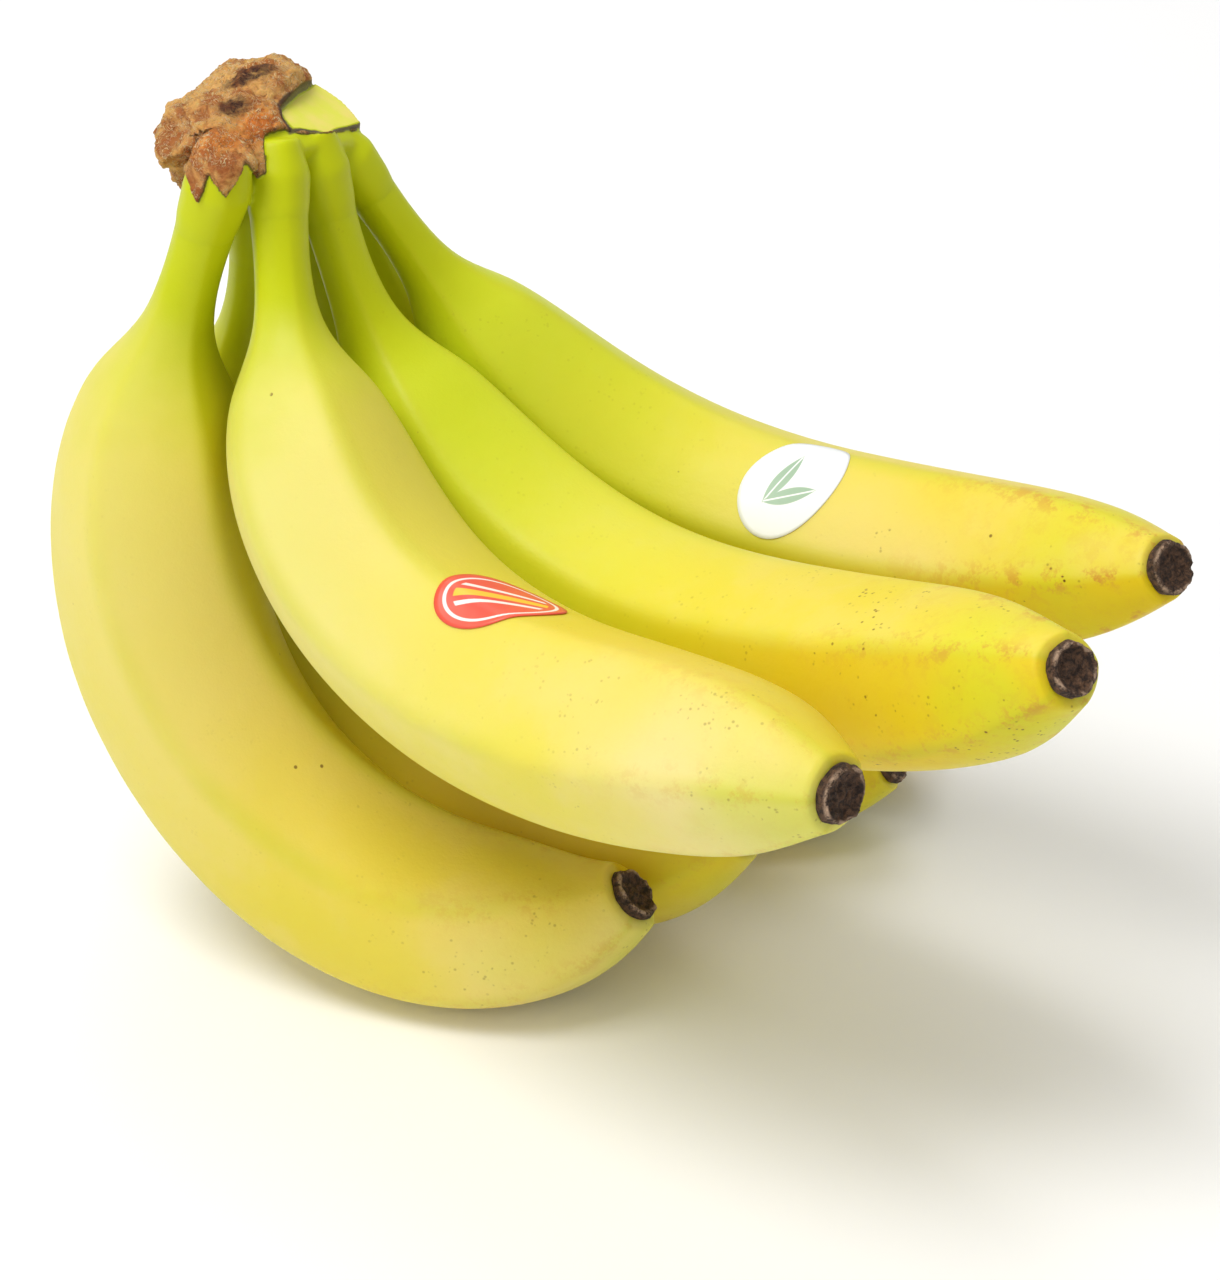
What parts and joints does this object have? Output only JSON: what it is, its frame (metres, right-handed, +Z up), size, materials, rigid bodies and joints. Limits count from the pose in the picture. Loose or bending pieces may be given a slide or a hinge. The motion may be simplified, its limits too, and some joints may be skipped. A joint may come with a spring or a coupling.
{
  "type": "banana bunch",
  "caption": "Bunch of ripe yellow bananas joined at a dry cut crown, lying on its curved side with the tips curving up, with two small fruit stickers.",
  "frame": {"origin": "on the surface the bunch lies on, under the middle of its outline", "axes": "+Z up; the front row of bananas faces -Y; the tips point towards +X and the crown is raised at -X"},
  "size_m": [0.2136, 0.2044, 0.1732],
  "materials": {
    "peel": "satin",
    "blossom_end": "matte",
    "crown": "matte",
    "white_sticker": "satin",
    "red_sticker": "satin"
  },
  "bodies": {
    "root": {"crown": "crown", "banana_front_1": "peel", "banana_front_2": "peel", "banana_front_3": "peel", "banana_front_4": "peel", "banana_back_1": "peel", "banana_back_2": "peel", "banana_back_3": "peel", "blossom_end_front_1": "blossom_end", "blossom_end_front_2": "blossom_end", "blossom_end_front_3": "blossom_end", "blossom_end_front_4": "blossom_end", "blossom_end_back_1": "blossom_end", "blossom_end_back_2": "blossom_end", "blossom_end_back_3": "blossom_end", "sticker_white": "white_sticker", "sticker_red": "red_sticker"}
  },
  "joints": []
}
